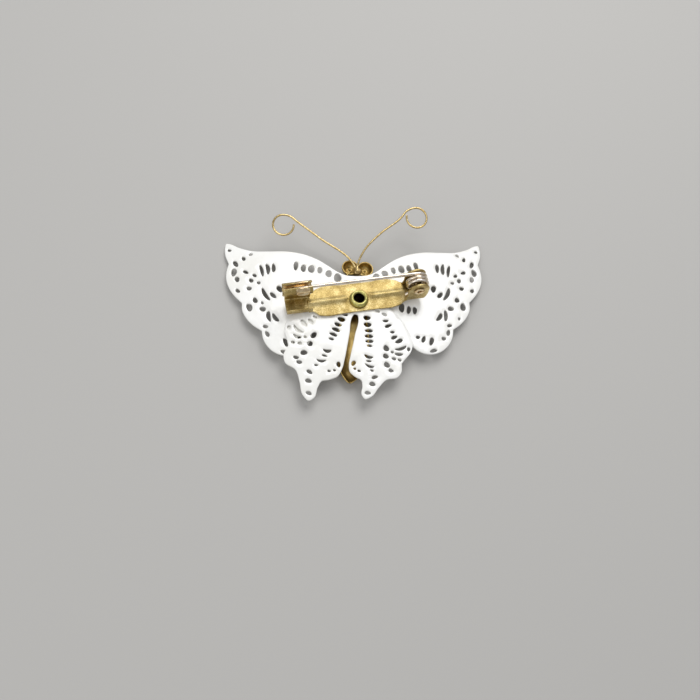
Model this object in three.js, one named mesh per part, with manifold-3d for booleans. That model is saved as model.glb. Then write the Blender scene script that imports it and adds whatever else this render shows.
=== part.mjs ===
// Butterfly brooch: two pierced enamelled wing plates and a hollow gilt body, held by one tubular rivet to
// a bar with a hinged pin and a safety catch. It lies face down: +Z is the back, +Y the head, +X its right
// as seen from the back. Millimetres. The origin is on the axis of the tubular rivet, on the table.
import * as THREE from 'three';
import { mergeVertices } from 'three/addons/utils/BufferGeometryUtils.js';
import Module from 'manifold-3d';

const wasm = await Module();
wasm.setup();

// ---- Driving dimensions -------------------------------------------------------------------------------
const wingspan = 56.8;          // across the forewing tips
const forewingRise = 15.6;      // from the rivet to the top of the forewing tips
const hindwingWidth = 26.9;     // across the hindwing's upper corners
const tailReach = 21.6;         // from the rivet to the ends of the tails
const slotWidth = 1.1;          // keyhole slot between the hindwings
const forewingLean = 0.0225;    // sideways shift per millimetre upwards
const forewingRightExtra = 0.01; // shares by which the halves differ
const leftTailExtra = 0.09;
const rightTailExtra = -0.035;
const rightTailTurn = -1.2;     // degrees
const wingSheet = 0.6;          // enamelled sheet
const wingHeight = 2.95;        // underside of the forewing above the table, at the rivet
const layerGap = 0.05;          // between pieces that lie on each other
const hindwingTurn = -12.8;     // degrees, how far each layer has slipped round the rivet
const bodyTurn = -6.7;
const barTurn = 8;
const bodyLength = 25.9;        // thorax and abdomen
const bodyWidth = 6.8;          // across the abdomen
const bodyDepth = 2.65;         // how deep the hollow body is stamped
const bodySheet = 0.4;
const bodyShift = -0.5;         // the body sits a little left of the rivet
const eyeRadius = 1.8;
const antennaWire = 0.45;
const antennaTilt = 0.21;       // rise per millimetre towards the head's side
const tubeRadius = 1.35;        // shank of the tubular rivet
const tubeWall = 0.37;
const tubeRoll = 0.7;           // how far its rolled rim stands out
const holeClearance = 0.05;     // round each rivet
const barSheet = 0.45;
const barHalfWidth = 3.3;       // of the panel's middle
const earGap = 0.175;           // between the spring coil and each ear
const ribHeight = 0.45;         // stiffening rib along its middle
const ribWidth = 1.4;
const barShift = 0.6;           // the rivet hole is this far to one side of the rib
const barEnd = -15.5;           // end of the bar's trough, from the rivet
const troughLength = 5.5;
const catchEnd = -15.95;        // end of the safety catch
const catchLength = 6.1;
const catchSheet = 0.25;
const sleeveSheet = 0.2;        // its turning sleeve
const catchHeight = 3.6;        // its axis above the rib
const hingeReach = 12.3;        // hinge axis from the rivet
const hingeHeight = 3;          // hinge axis above the rib
const earRadius = 2.25;
const pinWire = 0.75;
const coilRadius = 2;           // middle of the wire
const coilTurns = 2.5;
const hingePinRadius = 0.8;
const hingePinBore = 0.5;

// ---- Values that follow from them ---------------------------------------------------------------------
const tipReach = (wingspan / 2) * (1 + forewingRightExtra) + forewingLean * forewingRise;
const forewingReach = Math.hypot(tipReach, forewingRise);
const droop = wingHeight / forewingReach ** 2;
const panelBase = wingHeight + 2 * (wingSheet + layerGap);
const panelTop = panelBase + barSheet;
const ribTop = panelTop + ribHeight;
const hingeZ = ribTop + hingeHeight;
const catchZ = ribTop + catchHeight;
const pitch = pinWire + layerGap;
const barEndHalfWidth = barSheet + earGap + (coilTurns * pitch + pinWire) / 2;
const catchY = barEndHalfWidth - catchSheet;
const sleeveBore = 1.15 * pinWire;
const sleeveRadius = sleeveBore + sleeveSheet;
const catchRadius = sleeveRadius + holeClearance + catchSheet;
const tubeRimRadius = tubeRadius + tubeRoll;
const rad = THREE.MathUtils.degToRad;

/** Height lost by a domed surface at a point, from the rivet outwards. */
const fall = (x, y) => droop * (x * x + y * y);

// ---- Joining and cutting ------------------------------------------------------------------------------
/** A closed three.js geometry as a solid that can be joined and cut. */
function solid(geometry) {
  const bare = geometry.clone();
  bare.deleteAttribute('normal');
  bare.deleteAttribute('uv');
  const merged = mergeVertices(bare, 1e-5);
  const triVerts = new Uint32Array(merged.index.array);
  const vertProperties = new Float32Array(merged.attributes.position.array);
  return new wasm.Manifold(new wasm.Mesh({ numProp: 3, vertProperties, triVerts }));
}

/** The solid's surface as a three.js geometry. */
function surface(body) {
  const mesh = body.getMesh();
  const geometry = new THREE.BufferGeometry();
  geometry.setAttribute('position', new THREE.BufferAttribute(new Float32Array(mesh.vertProperties), 3));
  geometry.setIndex(new THREE.BufferAttribute(new Uint32Array(mesh.triVerts), 1));
  geometry.computeVertexNormals();
  return geometry;
}

const join = (...parts) => parts.reduce((whole, part) => whole.add(part));

/** A box given by its lowest and highest corners. */
function block(low, high) {
  const size = high.map((value, i) => value - low[i]);
  const box = new THREE.BoxGeometry(...size);
  return solid(box.translate(...low.map((value, i) => value + size[i] / 2)));
}

/** A flat outline carried straight up from z = 0 by depth. */
function prism(shapes, depth, smoothness = 2) {
  return new THREE.ExtrudeGeometry(shapes, { depth, bevelEnabled: false, curveSegments: smoothness });
}

/** The space between two height functions over a rectangle, as a grid with cells of about the given size. */
function slab([x0, y0, x1, y1], cell, low, high) {
  const columns = Math.ceil((x1 - x0) / cell);
  const rows = Math.ceil((y1 - y0) / cell);
  const box = new THREE.BoxGeometry(x1 - x0, y1 - y0, 1, columns, rows, 1);
  box.translate((x0 + x1) / 2, (y0 + y1) / 2, 0);
  const place = box.attributes.position;
  for (let i = 0; i < place.count; i += 1) {
    const height = place.getZ(i) > 0 ? high : low;
    place.setZ(i, height(place.getX(i), place.getY(i)));
  }
  return solid(box);
}

/** A ring or disc turned about the Z axis from points of radius and height. */
function turned(profile, segments) {
  const points = profile.map(([r, z]) => new THREE.Vector2(r, z));
  return new THREE.LatheGeometry(points, segments).rotateX(Math.PI / 2);
}

/** A round rod from one height to another. */
const rod = (radius, low, high) => turned([[0, low], [radius, low], [radius, high], [0, high]], 24);

/** An upright rod at a place, usually to cut with. */
const plug = (radius, low, high, x = 0, y = 0) => solid(rod(radius, low, high).translate(x, y, 0));

/** A wire of round section along a curve. */
function wire(curve, diameter, steps, sides) {
  const section = new THREE.Shape();
  section.absarc(0, 0, diameter / 2, 0, Math.PI * 2);
  return new THREE.ExtrudeGeometry(section, { extrudePath: curve, steps, curveSegments: sides / 2 });
}

// ---- Wing outlines and piercings ----------------------------------------------------------------------
/** A closed outline from smooth runs down its right side, then back up the left. */
function wingOutline(runs, place) {
  const vectors = (run, side) => run.slice(1).map(([x, y]) => place(side * x, y));
  const outline = new THREE.Shape();
  outline.moveTo(...place(...runs[0][0]).toArray());
  runs.forEach((run) => outline.splineThru(vectors(run, 1)));
  const back = runs.map((run) => [...run].reverse()).reverse();
  back.forEach((run) => outline.splineThru(vectors(run, -1)));
  return outline;
}

/** One piercing: an oval of a given length and width, turned in degrees and bent into a crescent. */
function piercing([x, y, length, width, turn = 0, bend = 0], place, side) {
  const middle = place(side * x, y);
  const sides = length > 1.25 ? 8 : 6;
  const points = [];
  for (let i = 0; i < sides; i += 1) {
    const angle = (2 * Math.PI * i) / sides;
    const along = (length / 2) * Math.cos(angle);
    const across = (width / 2) * Math.sin(angle) + bend * Math.sin(angle) ** 2;
    const point = new THREE.Vector2(along, across).rotateAround(new THREE.Vector2(), rad(turn));
    points.push(new THREE.Vector2(middle.x + side * point.x, middle.y + point.y));
  }
  return new THREE.Shape(points);
}

/** How much of a change has come in at a distance, from none at the start to all after the run. */
const share = (distance, start, run) => THREE.MathUtils.clamp((distance - start) / run, 0, 1);

// The outline of half a forewing, from the middle of its upper edge round to the middle of its lower edge.
const drawnForewing = { halfSpan: 28.4, rise: 15.6 };
const forewingRuns = [
  [[0, 6.3], [2.2, 6.5], [4, 7.3], [6, 8.8], [8.5, 10.6], [11.5, 12], [15, 12.8], [19, 13], [22.5, 13.3],
    [25.3, 14.3], [27.5, 15.5], [28.1, 15.6], [28.4, 14.5], [28.3, 12.7], [27.5, 10.35]],
  [[27.5, 10.35], [27.9, 8.55], [27.9, 6.4], [27.3, 4.45], [26.2, 2.6], [24.5, 0.65]],
  [[24.5, 0.65], [24.4, -1.05], [23.6, -2.8], [22.2, -4.5], [20.3, -5.95]],
  [[20.3, -5.95], [20, -7.65], [19, -9.55], [17.3, -11.05], [15.3, -11.7], [13.4, -11.5], [11.8, -10.65],
    [10.6, -9.35], [9.9, -7.25], [8.9, -5], [6.8, -3.6], [3.5, -2.9], [0, -2.7]],
];

// Piercings of half a forewing: x, y, length, width, turn in degrees, bend.
const forewingPiercings = [
  // along the leading edge, growing towards the head
  [4.2, 5.9, 1.9, 1.6, 100], [6.1, 6.9, 1.6, 1.3, 110], [8, 7.8, 1.5, 1, 100], [9.8, 8.15, 1.9, 1.3, 100],
  [11.5, 8.4, 1.7, 1.1, 95], [13.1, 9.05, 2.1, 0.95, 100],
  // three long slits near the middle of the wing
  [17.9, 8.75, 2.2, 0.8, 88, 0.05], [19.2, 8.55, 2.7, 0.85, 82, 0.15], [20.5, 8.2, 3, 0.7, 78, 0.15],
  // round the tip and down the outer edge
  [27.4, 13.8, 0.8, 0.7], [24.3, 11.45, 1.1, 0.75, 70], [22.8, 12.4, 0.9, 0.6, -20],
  [26, 10.25, 1.7, 0.9, 65], [26.3, 8.15, 1.9, 1.15, 95],
  [25.6, 6.4, 1.3, 1, 80], [25.4, 3.6, 1.1, 0.8, 60], [22.9, -0.5, 1.9, 1.2, 80],
  // scattered dots inside the edge
  [23.8, 8.05, 1.2, 0.8, 30], [21.9, 7.1, 1, 0.7, 50], [22.6, 5.9, 1.1, 0.85, 60], [21, 5.25, 0.8, 0.7],
  [23, 4, 1.1, 0.9], [21.7, 1.1, 1.3, 1, 70], [20.1, -1.05, 1.3, 1.1],
  // curved slits below the catch and the hinge
  [19.4, 2.5, 3.3, 0.85, 62, -0.3], [17.9, 2.15, 1.8, 0.85, 50, -0.1], [16.6, 3.55, 1.7, 1.1, 70],
  [18.7, -2.75, 2.5, 0.85, 85, -0.2], [17.3, -3.05, 2.3, 0.85, 55, -0.25],
  // beside the body, under the bar
  [9.3, -1.2, 2.3, 1.15, 80], [10.8, -1.65, 1.9, 0.9, 80], [12.1, -1.75, 1.8, 0.95, 80],
  // round the lower lobe
  [19.5, -5.05, 1.1, 0.8, 20], [19.1, -6.75, 1.4, 0.8, 70],
  [15.3, -8.8, 1.9, 0.95, 70], [13.6, -8.4, 1.7, 0.75, 65], [12.4, -7.95, 0.9, 0.8],
  [15.6, -10.9, 1.6, 0.85, 20],
];

// Piercings that one forewing has and the other has not.
const forewingExtras = [
  [1, [21.8, -3.35, 0.75, 0.6, 80]], [1, [18, -8.1, 1, 0.85]], [-1, [20.2, 0.4, 0.7, 0.55, 80]],
];

// The outline of half a hindwing, from the middle of its upper edge round the tail to the slot.
const drawnHindwing = { halfWidth: 13.45, reach: 21.6 };
const hindwingRuns = [
  [[0, 2.3], [3.2, 1.6], [6.1, 0.1], [9, -1.8], [11.8, -4.9], [13.3, -7.5], [13.2, -9.1], [12.3, -11],
    [11.8, -12.1]],
  [[11.8, -12.1], [12.15, -14.1], [11.6, -15.3], [9.3, -16.5], [8, -18.6], [6.9, -20.8], [5.6, -21.6],
    [4.7, -20.8], [4.5, -19], [4.1, -17.9], [2.6, -17.3], [1.2, -16.4], [0.65, -14.8], [0.55, -13]],
];

// Piercings of half a hindwing.
const hindwingPiercings = [
  // fanned row beside the slot
  [2.4, -3.5, 1.5, 1.1, 20], [2.8, -5, 1.6, 1.1, 15], [3.3, -6.3, 1.6, 0.85, 10], [3.5, -7.5, 1.8, 0.85, 12],
  [3.8, -8.6, 1.6, 0.8, 15], [4, -9.6, 1.1, 0.6, 10],
  // crescents that open upwards, then dots down the tail
  [4.3, -11.9, 1.8, 0.75, -5, -0.3], [4.6, -13.1, 1.1, 0.5, 5], [5, -14, 2, 0.6, -5, -0.25],
  [5.7, -15, 0.8, 0.55, -15], [6.7, -16.5, 1.3, 0.8, 30], [6.5, -18.1, 1.3, 0.95, 10],
  [5.9, -20.2, 1.2, 0.85, 10],
  // inner lobe
  [1.55, -14.3, 1.3, 0.8, 75], [2.1, -15.5, 0.55, 0.5], [3.1, -15.8, 0.7, 0.5],
  // outer side, from under the bar to the corner
  [4.4, -1.4, 0.9, 0.75], [5.9, -1.9, 1.1, 0.7, -10], [6.4, -3.3, 1.3, 0.6, 20], [7.1, -4.3, 1.5, 0.75, 35],
  [8.2, -5.5, 0.9, 0.65, 20], [8.8, -6.6, 1.4, 0.8, 40], [10, -7.1, 1.8, 0.85, 45, -0.1],
  [10.7, -8.5, 2.6, 0.7, 30, -0.35], [10.6, -10, 1.8, 0.7, 10, -0.2], [12.5, -8.4, 1.1, 0.75, 90],
  [9.2, -9.9, 0.8, 0.7], [11.1, -11.4, 0.8, 0.65], [9.8, -11.4, 0.9, 0.7],
  // large dots between the rows
  [7.6, -9.4, 1.5, 1.1, 120], [7.9, -11.2, 1.2, 1.1], [8.6, -13.1, 1.4, 1.1, 150], [9.8, -14.2, 1.1, 0.8],
];

// The left hindwing has one more.
const hindwingExtras = [[-1, [9, -15, 1.2, 0.8]]];

/** A domed, pierced wing plate with the rivet's hole. Its underside starts at base and falls off outwards. */
function wingPlate(outline, piercings, base, reach, fallShare) {
  const low = (x, y) => base - fallShare * fall(x, y);
  const high = (x, y) => low(x, y) + wingSheet;
  const cell = 4.2;
  const sheet = slab([-reach[0] - 3, -reach[1] - 3, reach[0] + 3, reach[1] + 3], cell, low, high);
  const below = -5;
  const cutter = (shapes) => solid(prism(shapes, 20).translate(0, 0, below));
  const rivetHole = plug(tubeRadius + holeClearance, below, 15);
  return surface(sheet.intersect(cutter(outline)).subtract(cutter(piercings)).subtract(rivetHole));
}

/** Both sides' shared piercings and the extra ones, as shapes. */
function allPiercings(shared, extras, place) {
  const paired = [-1, 1].flatMap((side) => shared.map((row) => piercing(row, place, side)));
  return [...paired, ...extras.map(([side, row]) => piercing(row, place, side))];
}

function forewingPlate() {
  const scaleX = wingspan / 2 / drawnForewing.halfSpan;
  const scaleY = forewingRise / drawnForewing.rise;
  // the plate leans a little to the right, and its right half came out a little wider
  const place = (x, y) => new THREE.Vector2(
    (x + forewingLean * y + Math.max(x, 0) * forewingRightExtra) * scaleX, y * scaleY);
  const outline = wingOutline(forewingRuns, place);
  const holes = allPiercings(forewingPiercings, forewingExtras, place);
  return wingPlate(outline, holes, wingHeight, [wingspan / 2, forewingRise], 1);
}

function hindwingPlate() {
  const scale = [hindwingWidth / 2 / drawnHindwing.halfWidth, tailReach / drawnHindwing.reach];
  // the left tail is drawn out longer; the right one is shorter and turned in
  const place = (x, y) => {
    const far = Math.hypot(x, y);
    const point = new THREE.Vector2(x * scale[0], y * scale[1]);
    if (x < 0) return point.multiplyScalar(1 + leftTailExtra * share(far, 8, 13));
    const turn = rad(rightTailTurn) * share(far, 10, 8);
    return point.multiplyScalar(1 + rightTailExtra * share(far, 10, 8)).rotateAround(new THREE.Vector2(), turn);
  };
  const outline = wingOutline(hindwingRuns, place);
  // the slot is cut on its own, so that its width can be set by itself
  const slot = new THREE.Shape();
  const slotTop = -3.7 * scale[1];
  slot.moveTo(-slotWidth / 2, -17.5 * scale[1]);
  slot.lineTo(slotWidth / 2, -17.5 * scale[1]);
  slot.lineTo(slotWidth / 2, slotTop);
  slot.absarc(0, slotTop, slotWidth / 2, 0, Math.PI, false);
  const base = wingHeight + wingSheet + layerGap;
  const reach = [hindwingWidth / 2, tailReach];
  const holes = allPiercings(hindwingPiercings, hindwingExtras, place);
  const plate = solid(wingPlate(outline, holes, base, reach, 0.95));
  return surface(plate.subtract(solid(prism(slot, 20, 6).translate(0, 0, -5))));
}

// ---- Body ---------------------------------------------------------------------------------------------
const rimHeight = (x, y) => wingHeight - layerGap - fall(x, y);
const neckY = 7.6;
const eyeY = 8.6;
const eyeOffset = eyeRadius - 0.15;

/** Thorax and abdomen: one turned shape along Y, flattened to the stamping's depth, bent with the wings. */
function torso(inset) {
  const halfWidth = bodyWidth / 2;
  const stations = [[0.62, 0], [0.86, 0.1], [0.97, 0.22], [0.85, 0.34], [0.8, 0.42], [0.95, 0.54],
    [1, 0.63], [0.93, 0.75], [0.72, 0.88], [0.42, 0.95], [0.15, 0.99]];
  const side = new THREE.SplineCurve(stations.map(([width, along]) => new THREE.Vector2(
    width * halfWidth - inset, neckY - inset - along * (bodyLength - 2 * inset))));
  const profile = side.getPoints(15);
  const top = profile[0].y;
  const bottom = profile[profile.length - 1].y;
  const closed = [new THREE.Vector2(0, top), ...profile, new THREE.Vector2(0, bottom)].reverse();
  const shape = new THREE.LatheGeometry(closed, 16);
  shape.scale(1, 1, (bodyDepth - inset) / (halfWidth - inset));
  const place = shape.attributes.position;
  for (let i = 0; i < place.count; i += 1) {
    place.setZ(i, place.getZ(i) + rimHeight(0, place.getY(i)));
  }
  return solid(shape);
}

/** A round bowl for an eye, open at the top. */
function eyeBowl(side, inset) {
  const radius = eyeRadius - inset;
  const depth = eyeRadius * 0.95 - inset;
  const arc = [0, 25, 47, 68, 90].map((angle) => [radius * Math.sin(rad(angle)),
    -depth * Math.cos(rad(angle))]);
  const top = 1.5 + inset;
  const bowl = turned([...arc, [radius, top], [0, top]], 16);
  return solid(bowl.translate(side * eyeOffset, eyeY, rimHeight(0, eyeY)));
}

/** The small raised pip in the middle of each eye. */
function eyePip(side) {
  const pip = turned([[0, -0.2], [0.5, -0.2], [0.4, 0.2], [0.15, 0.32], [0, 0.32]], 8);
  const floor = rimHeight(0, eyeY) - eyeRadius * 0.95 + bodySheet;
  return solid(pip.translate(side * eyeOffset, eyeY, floor));
}

function bodyShell() {
  const outer = join(torso(0), eyeBowl(-1, 0), eyeBowl(1, 0));
  const inner = join(torso(bodySheet), eyeBowl(-1, bodySheet), eyeBowl(1, bodySheet));
  const reachY = bodyLength;
  const under = slab([-6, -reachY, 6, neckY + 6], 4, () => -2, rimHeight);
  return surface(outer.subtract(inner).intersect(under).add(eyePip(-1)).add(eyePip(1)));
}

/** The flat strip across the thorax that takes the rivet. */
function bodyBridge() {
  const thickness = 0.5;
  const length = 4.6;
  const top = wingHeight - layerGap;
  const hole = plug(tubeRadius + holeClearance, 0, 5, -bodyShift, 0);
  const strip = block([-bodyWidth, -length / 2, top - thickness], [bodyWidth, length / 2, top - 0.02]);
  const inside = torso(bodySheet + layerGap);
  return surface(strip.subtract(hole).intersect(inside));
}

// ---- Antennae -----------------------------------------------------------------------------------------
const wireRest = rimHeight(0, eyeY) + antennaWire / 2 + layerGap;
const leftAntenna = {
  shaft: [[0.55, 7.5], [-0.7, 9.8], [-7.5, 15], [-12.55, 18.8], [-13.95, 19.88]],
  loop: { centre: [-15.45, 17.95], radius: 2.25, from: 85, sweep: 274 },
  lift: 0,
};
const rightAntenna = {
  shaft: [[0.2, 7.5], [0.42, 8.9], [1.91, 12.02], [5.59, 15.86], [10.43, 19.54], [11.86, 21.15]],
  loop: { centre: [13.95, 19.6], radius: 2.25, from: 88, sweep: -278 },
  lift: antennaWire + layerGap,
};

/** The path of an antenna: a shaft from the head, then most of a turn. It rises steadily from the head. */
function antennaCurve({ shaft, loop, lift }) {
  const points = shaft.map(([x, y]) => [x, y]);
  const stops = 12;
  for (let i = 0; i <= stops; i += 1) {
    const angle = rad(loop.from + (loop.sweep * i) / stops);
    const x = loop.centre[0] + loop.radius * Math.cos(angle);
    points.push([x, loop.centre[1] + loop.radius * Math.sin(angle)]);
  }
  const place = ([x, y]) => new THREE.Vector3(x, y, wireRest + lift + Math.max(0, y - 8.6) * antennaTilt);
  return new THREE.CatmullRomCurve3(points.map(place), false, 'centripetal');
}

const antenna = (route, diameter = antennaWire) => wire(antennaCurve(route), diameter, 46, 6);

/** The lump of solder that holds both wires to the back of the head. */
function antennaSolder() {
  const lump = new THREE.SphereGeometry(1, 12, 8).scale(0.8, 0.85, 0.55).translate(0.4, 7.85, wireRest);
  const above = slab([-4, 4, 4, 12], 2, (x, y) => rimHeight(x, y) + layerGap, () => 8);
  const clear = antennaWire + 2 * 0.03;
  const wires = join(solid(antenna(leftAntenna, clear)), solid(antenna(rightAntenna, clear)));
  return surface(solid(lump).intersect(above).subtract(wires));
}

// ---- Pin back -----------------------------------------------------------------------------------------
/** The panel seen from above: wide in the middle, narrow at the trough and under the ears. */
function panelOutline() {
  const wide = barHalfWidth;
  const narrow = barEndHalfWidth;
  const troughInner = barEnd + troughLength;
  const right = hingeReach + earRadius * 0.75;
  const half = [[barEnd, narrow], [troughInner, narrow], [troughInner + 1.9, wide - 0.15],
    [troughInner + 3.2, wide], [hingeReach - 5.4, wide], [hingeReach - 4.2, wide - 0.3],
    [hingeReach - earRadius + 0.6, narrow], [right, narrow]];
  const mirrored = [...half].reverse().map(([x, y]) => [x, -y]);
  return new THREE.Shape([...half, ...mirrored].map(([x, y]) => new THREE.Vector2(x, y)));
}

/** The half-round rib pressed up along the panel's middle, stopping clear of the tubular rivet. */
function panelRib() {
  const section = new THREE.Shape();
  section.absellipse(0, 0, ribWidth / 2, ribHeight, 0, Math.PI, false);
  const start = barEnd + troughLength;
  const end = hingeReach - earRadius;
  const ridge = prism(section, end - start, 6).rotateX(Math.PI / 2).rotateZ(Math.PI / 2);
  const clearing = plug(tubeRimRadius + 0.15, panelTop - 1, panelTop + 1, 0, -barShift);
  return solid(ridge.translate(start, 0, panelTop)).subtract(clearing);
}

/** A plate standing on edge: an outline in X and Z, given thickness along Y from y0 to y1. */
function standing(shape, y0, y1, smoothness = 6) {
  const plate = prism(shape, y1 - y0, smoothness).rotateX(Math.PI / 2);
  return solid(plate.translate(0, y1, 0));
}

function earOutline() {
  const ear = new THREE.Shape();
  ear.moveTo(hingeReach - earRadius, panelBase);
  ear.lineTo(hingeReach + earRadius * 0.75, panelBase);
  ear.lineTo(hingeReach + earRadius, ribTop + 0.6);
  ear.lineTo(hingeReach + earRadius, hingeZ);
  ear.absarc(hingeReach, hingeZ, earRadius, 0, Math.PI, false);
  return ear;
}

/** A straight rod along X, between x0 and x1, at a place in Y and Z. */
const alongX = (x0, x1, radius, [y, z]) => solid(rod(radius, x0, x1).rotateY(Math.PI / 2).translate(0, y, z));

const windowLength = 3.2;
const windowStart = catchEnd + 2.45;
const mouthWidth = pinWire + 0.15;

/** The way up out of a catch at a place in Y and Z, for the pin. */
function mouth([y, z]) {
  return block([catchEnd - 1, y - mouthWidth / 2, z], [catchEnd + catchLength + 1, y + mouthWidth / 2, z + 4]);
}

function pinBar() {
  const panel = solid(prism(panelOutline(), barSheet).translate(0, 0, panelBase));
  const ears = [-1, 1].map((side) => {
    const outer = side * barEndHalfWidth;
    const inner = side * (barEndHalfWidth - barSheet);
    return standing(earOutline(), Math.min(outer, inner), Math.max(outer, inner), 10);
  });
  const catchStop = catchEnd + catchLength;
  const lip = block([barEnd, -barEndHalfWidth, panelBase],
    [barEnd + troughLength, -barEndHalfWidth + barSheet, ribTop + 0.95]);
  const wall = new THREE.Shape([[barEnd, panelBase], [catchStop - 0.7, panelBase],
    [catchStop - 0.7, ribTop + 1.2], [catchStop, ribTop + 2], [catchStop, catchZ], [catchEnd, catchZ],
    [catchEnd, ribTop + 2], [barEnd, ribTop + 1.2]].map(([x, z]) => new THREE.Vector2(x, z)));
  const wallSheet = standing(wall, barEndHalfWidth - barSheet, barEndHalfWidth);
  const catchAxis = [catchY, catchZ];
  const barrel = alongX(catchEnd, catchStop, catchRadius, catchAxis);
  const bore = alongX(catchEnd - 1, catchStop + 1, catchRadius - catchSheet, catchAxis);
  const windowCut = alongX(windowStart, windowStart + windowLength, catchRadius + 0.25, catchAxis);
  const rivetHole = plug(tubeRadius + holeClearance, 0, 9, 0, -barShift);
  const hingeRod = rod(hingePinRadius + holeClearance, -4, 4).rotateX(Math.PI / 2);
  const hingeHole = solid(hingeRod.translate(hingeReach, 0, hingeZ));
  return surface(join(panel, panelRib(), ...ears, lip, wallSheet, barrel).subtract(bore)
    .subtract(windowCut).subtract(mouth(catchAxis)).subtract(rivetHole).subtract(hingeHole));
}

/** The turning sleeve of the catch: slotted on top, thicker in the window, with a round tab for the thumb. */
function catchRotor() {
  const endGap = 0.15;
  const axis = [0, 0];
  const sleeve = alongX(catchEnd + endGap, catchEnd + catchLength - endGap, sleeveRadius, axis);
  const collar = alongX(windowStart + 0.1, windowStart + windowLength - 0.1, catchRadius + 0.05, axis);
  const bore = alongX(catchEnd - 1, catchEnd + catchLength + 1, sleeveBore, axis);
  const tabHalf = windowLength / 2 - 0.1;
  const root = catchRadius - 0.3;
  const reach = catchRadius + 0.4;
  const tab = new THREE.Shape();
  tab.moveTo(-tabHalf, root);
  tab.lineTo(tabHalf, root);
  tab.bezierCurveTo(tabHalf, reach - 0.15, 0.8, reach, 0, reach);
  tab.bezierCurveTo(-0.8, reach, -tabHalf, reach - 0.15, -tabHalf, root);
  const thickness = 0.6;
  const lobe = prism(tab, thickness, 6).translate(0, 0, -thickness / 2);
  lobe.rotateX(rad(180 + 12)).translate(windowStart + windowLength / 2, 0, 0);
  return surface(join(sleeve, collar).subtract(bore).add(solid(lobe)).subtract(mouth(axis)));
}

/** The pin: a sharpened stem, a spring coil round the hinge and a tail that rests on the bar. */
function pinStem() {
  const start = new THREE.Vector3(hingeReach, (coilTurns * pitch) / 2, hingeZ + coilRadius);
  const middle = new THREE.Vector3(catchEnd + catchLength / 2, catchY, catchZ);
  const way = middle.sub(start);
  const length = (way.length() * (hingeReach - catchEnd - 0.5)) / -way.x;
  const radius = pinWire / 2;
  const shaft = turned([[0, 0], [radius, 0], [radius, length - 10], [radius * 0.8, length - 6.2],
    [radius * 0.7, length - 3], [0.09, length], [0, length]], 10);
  const aim = new THREE.Quaternion().setFromUnitVectors(new THREE.Vector3(0, 0, 1), way.normalize());
  shaft.applyQuaternion(aim).translate(...start.toArray());
  const perTurn = 12;
  const points = [start.clone().add(new THREE.Vector3(-0.35, 0, 0))];
  for (let i = 0; i <= coilTurns * perTurn; i += 1) {
    const angle = Math.PI / 2 - (2 * Math.PI * i) / perTurn;
    points.push(new THREE.Vector3(hingeReach + coilRadius * Math.cos(angle),
      start.y - (pitch * i) / perTurn, hingeZ + coilRadius * Math.sin(angle)));
  }
  const tailEnd = panelTop + radius + layerGap;
  const tailY = start.y - pitch * coilTurns;
  points.push(new THREE.Vector3(hingeReach - 1.2, tailY, (hingeZ - coilRadius) * 0.45 + tailEnd * 0.55));
  points.push(new THREE.Vector3(hingeReach - 2.2, tailY, tailEnd));
  const coil = wire(new THREE.CatmullRomCurve3(points, false, 'centripetal'), pinWire, 48, 8);
  return surface(solid(shaft).add(solid(coil)));
}

/** The hollow rivet through both ears, rolled over at its ends. */
function hingeRivet() {
  const face = barEndHalfWidth + 0.02;
  const end = face + 0.35;
  const roll = hingePinRadius + 0.3;
  const ring = [[hingePinBore, -end], [roll - 0.12, -end], [roll, -end + 0.15], [roll, -face],
    [hingePinRadius, -face], [hingePinRadius, face], [roll, face], [roll, end - 0.15], [roll - 0.12, end],
    [hingePinBore, end], [hingePinBore, -end]];
  return turned(ring, 20).rotateX(Math.PI / 2).translate(hingeReach, 0, hingeZ);
}

/** The tubular rivet: a hollow shank with a rolled rim over the bar and a flange under the body's bridge. */
function tubularRivet() {
  const seat = panelTop + 0.02;
  const foot = wingHeight - layerGap - 0.5 - 0.02;
  const rimTop = ribTop + 0.6;
  const tubeBore = tubeRadius - tubeWall;
  // the flange has to fit inside the hollow body
  const flange = bodyWidth / 2 - 1.55;
  const ring = [[tubeBore, foot - 0.3], [flange, foot - 0.3], [flange, foot], [tubeRadius, foot],
    [tubeRadius, seat], [tubeRimRadius - 0.15, seat], [tubeRimRadius, seat + 0.25],
    [tubeRimRadius, rimTop - 0.4], [tubeRimRadius - 0.35, rimTop], [tubeBore + 0.3, rimTop - 0.08],
    [tubeBore, rimTop - 0.45], [tubeBore, foot - 0.3]];
  return turned(ring, 28);
}

// ---- Assembly -----------------------------------------------------------------------------------------
const enamel = { color: 0xf6f5f0, roughness: 0.22, metalness: 0 };
const gilt = { color: 0xc9a55c, roughness: 0.38, metalness: 1 };
const rawBrass = { color: 0xc8b763, roughness: 0.45, metalness: 1 };
const steel = { color: 0xd8cfb4, roughness: 0.25, metalness: 1 };
const solderGrey = { color: 0xb79a63, roughness: 0.5, metalness: 1 };

function piece(name, geometry, finish) {
  const mesh = new THREE.Mesh(geometry, new THREE.MeshStandardMaterial(finish));
  mesh.name = name;
  return mesh;
}

const brooch = new THREE.Group();

const hindwing = piece('hindwing_plate', hindwingPlate(), enamel);
hindwing.rotation.z = rad(hindwingTurn);

const body = new THREE.Group();
body.rotation.z = rad(bodyTurn);
const bodyPieces = [piece('body_shell', bodyShell(), gilt), piece('body_bridge', bodyBridge(), gilt)];
bodyPieces.forEach((mesh) => { mesh.position.x = bodyShift; });
body.add(...bodyPieces);

// the bar's own frame has its rib on the X axis, so the rivet lies beside it
const pinBack = new THREE.Group();
pinBack.rotation.z = rad(barTurn);
pinBack.position.set(-barShift * Math.sin(rad(barTurn)), barShift * Math.cos(rad(barTurn)), 0);
const rotor = piece('catch_rotor', catchRotor(), gilt);
rotor.position.set(0, catchY, catchZ);
pinBack.add(piece('pin_bar', pinBar(), gilt), rotor, piece('pin_stem', pinStem(), steel),
  piece('hinge_rivet', hingeRivet(), gilt));

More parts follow.
